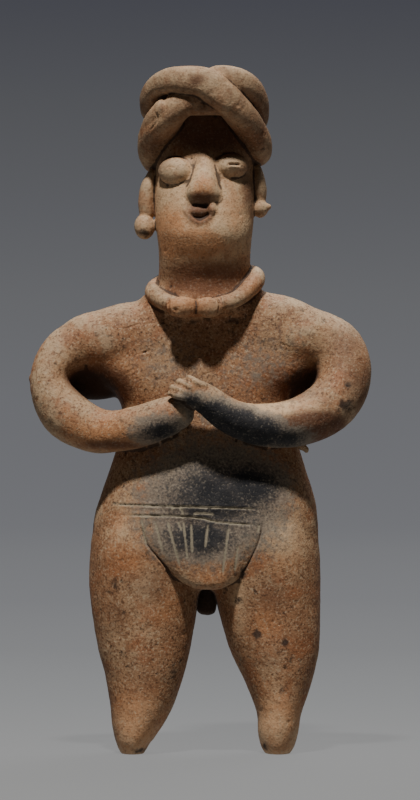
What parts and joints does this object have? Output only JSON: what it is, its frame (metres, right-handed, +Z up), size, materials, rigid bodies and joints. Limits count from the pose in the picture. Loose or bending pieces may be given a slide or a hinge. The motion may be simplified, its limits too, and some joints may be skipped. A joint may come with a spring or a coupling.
{
  "type": "ceramic standing figure",
  "caption": "Hand-built clay figure that stands on two blunt legs, with a twisted turban, a coil necklace, forearms laid over the belly and an incised apron.",
  "frame": {"origin": "middle of the figure's outline seen from above, on the surface that both soles stand on", "axes": "+Z up, the figure faces -Y, +X towards the viewer's right"},
  "size_m": [0.1255, 0.0501, 0.2504],
  "materials": {
    "fired_clay": "unglazed orange-tan clay, lightly burnished, with black fire clouds and pale deposits"
  },
  "bodies": {
    "root": {"figure": "fired_clay"}
  },
  "joints": []
}
